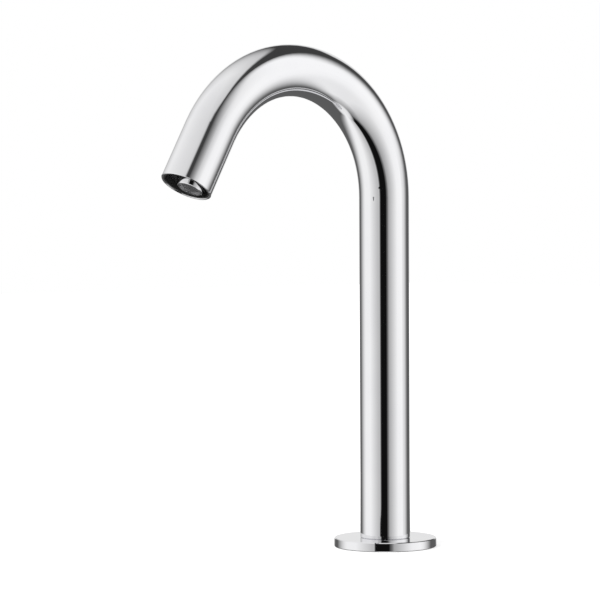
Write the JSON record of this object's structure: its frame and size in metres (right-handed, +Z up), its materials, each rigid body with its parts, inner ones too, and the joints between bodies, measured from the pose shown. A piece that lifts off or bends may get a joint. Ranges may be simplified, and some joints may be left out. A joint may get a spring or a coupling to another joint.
{
  "type": "sensor tap",
  "caption": "Deck-mounted swan-neck tap with an infrared sensor beside the aerator in its mouth and a latching valve inside its column.",
  "frame": {"origin": "on the column's axis, in the plane of the flange's underside, where the tap stands on the deck", "axes": "+Z up along the column, -Y the way the spout reaches out over the basin, X across the tap"},
  "size_m": [0.057, 0.1841, 0.277],
  "materials": {
    "tube_chrome": "polished",
    "flange_chrome": "polished",
    "nozzle_chrome": "polished",
    "gasket_rubber": "matte",
    "valve_rubber": "matte",
    "machined_brass": "satin",
    "socket_plastic": "matte",
    "gold_contact": "polished",
    "white_plastic": "satin",
    "spring_steel": "satin",
    "valve_plastic": "matte",
    "screw_steel": "satin",
    "turned_steel": "satin",
    "nut_brass": "satin",
    "copper_winding": "satin",
    "coil_steel": "satin",
    "magnet_black": "matte",
    "cable_jacket": "satin",
    "shrink_sleeve": "satin",
    "hose_rubber": "satin",
    "holder_plastic": "satin",
    "sensor_window": "gloss",
    "diode_dark": "gloss",
    "diode_clear": "gloss",
    "board_green": "satin",
    "grid_plastic": "satin",
    "screen_steel": "satin",
    "regulator_plastic": "matte"
  },
  "bodies": {
    "tap": {"spout_tube": "tube_chrome", "base_flange": "flange_chrome", "flange_gasket": "gasket_rubber", "base_body": "machined_brass", "power_socket": "socket_plastic", "socket_pins": "gold_contact", "inlet_strainer": "white_plastic", "check_valve_body": "white_plastic", "check_valve_spring": "spring_steel", "spigot_o_ring": "gasket_rubber", "valve_body": "valve_plastic", "valve_screws": "screw_steel", "diaphragm": "valve_rubber", "guide_tube": "turned_steel", "bonnet_nut": "nut_brass", "plunger_spring": "spring_steel", "core_plug": "turned_steel", "coil_bobbin": "valve_plastic", "coil_winding": "copper_winding", "coil_can": "coil_steel", "can_lid": "coil_steel", "latch_magnet": "magnet_black", "coil_nut": "nut_brass", "coil_lead": "cable_jacket", "splice_sleeve": "shrink_sleeve", "sensor_cable": "cable_jacket", "riser_nipple": "machined_brass", "tip_nipple": "machined_brass", "nipple_seals": "gasket_rubber", "hose_ferrules": "screw_steel", "water_hose": "hose_rubber", "tip_holder": "holder_plastic", "tip_o_ring": "gasket_rubber", "grub_screw": "screw_steel", "sensor_window": "sensor_window", "ir_emitter": "diode_clear", "ir_receiver": "diode_dark", "sensor_shield": "holder_plastic", "sensor_board": "board_green", "aerator_shell": "nozzle_chrome", "aerator_grid": "grid_plastic", "aerator_screens": "screen_steel", "jet_regulator": "regulator_plastic", "flow_regulator": "regulator_plastic", "aerator_washer": "gasket_rubber"},
    "plunger": {"plunger": "turned_steel", "plunger_seal": "valve_rubber"},
    "diaphragm_insert": {"diaphragm_insert": "white_plastic"},
    "check_poppet": {"check_valve_poppet": "white_plastic"}
  },
  "joints": [
    {"name": "plunger_lift", "type": "slide", "parent": "tap", "child": "plunger", "axis": [0, 0, 1], "range_m": [0, 0.002], "stiffness_N_per_m": 300, "springref_m": -0.003, "deforming": ["plunger_spring"]},
    {"name": "diaphragm_lift", "type": "slide", "parent": "tap", "child": "diaphragm_insert", "axis": [0, 0, 1], "range_m": [0, 0.0015], "deforming": ["diaphragm"]},
    {"name": "check_valve_lift", "type": "slide", "parent": "tap", "child": "check_poppet", "axis": [0, 0, 1], "range_m": [0, 0.0015], "stiffness_N_per_m": 100, "springref_m": -0.002, "deforming": ["check_valve_spring"]}
  ],
  "couplings": [
    {"joint": "diaphragm_lift", "follows": "plunger_lift", "ratio": 0.75}
  ]
}
